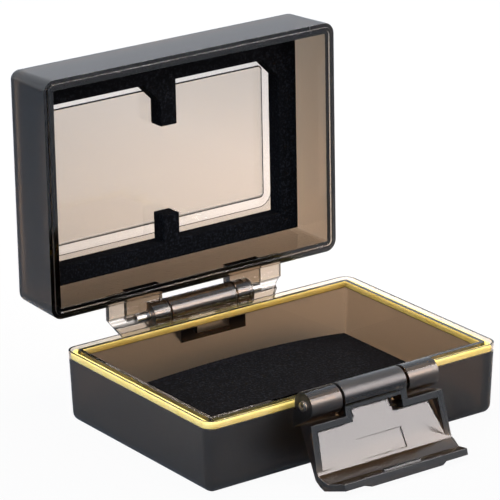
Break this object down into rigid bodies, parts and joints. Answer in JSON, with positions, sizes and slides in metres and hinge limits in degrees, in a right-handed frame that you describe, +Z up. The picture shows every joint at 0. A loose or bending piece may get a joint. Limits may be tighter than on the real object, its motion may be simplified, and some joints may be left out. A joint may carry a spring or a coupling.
{
  "type": "battery case",
  "caption": "Small hinged hard case of smoke-tinted clear plastic with a rim seal, foam pads with card pockets in the lid, and a hanging front snap latch.",
  "frame": {"origin": "centre of the base's flat bottom face", "axes": "+Z up out of the base, +Y back towards the hinge, +X along the hinge towards the right seen from the latch"},
  "size_m": [0.068, 0.0807, 0.0662],
  "materials": {
    "smoke_plastic": "gloss, smoke-tinted clear polycarbonate",
    "latch_plastic": "gloss outside, satin inside, smoke-tinted clear polycarbonate",
    "seal": "matt pale yellow silicone",
    "foam": "matt black closed-cell foam",
    "pin_steel": "bright rolled steel"
  },
  "bodies": {
    "base": {"base_shell": "smoke_plastic", "seal_ring": "seal", "base_foam": "foam", "hinge_pin": "pin_steel", "latch_pin": "pin_steel"},
    "lid": {"lid_shell": "smoke_plastic", "lid_foam": "foam"},
    "latch": {"latch": "latch_plastic"}
  },
  "joints": [
    {"name": "lid_hinge", "type": "hinge", "parent": "base", "child": "lid", "pos_m": [0, 0.0276, 0.0148], "axis": [1, 0, 0], "range_deg": [0, 91]},
    {"name": "latch_hinge", "type": "hinge", "parent": "base", "child": "latch", "pos_m": [0, -0.0267, 0.0141], "axis": [1, 0, 0], "range_deg": [-164.5, 0]}
  ]
}
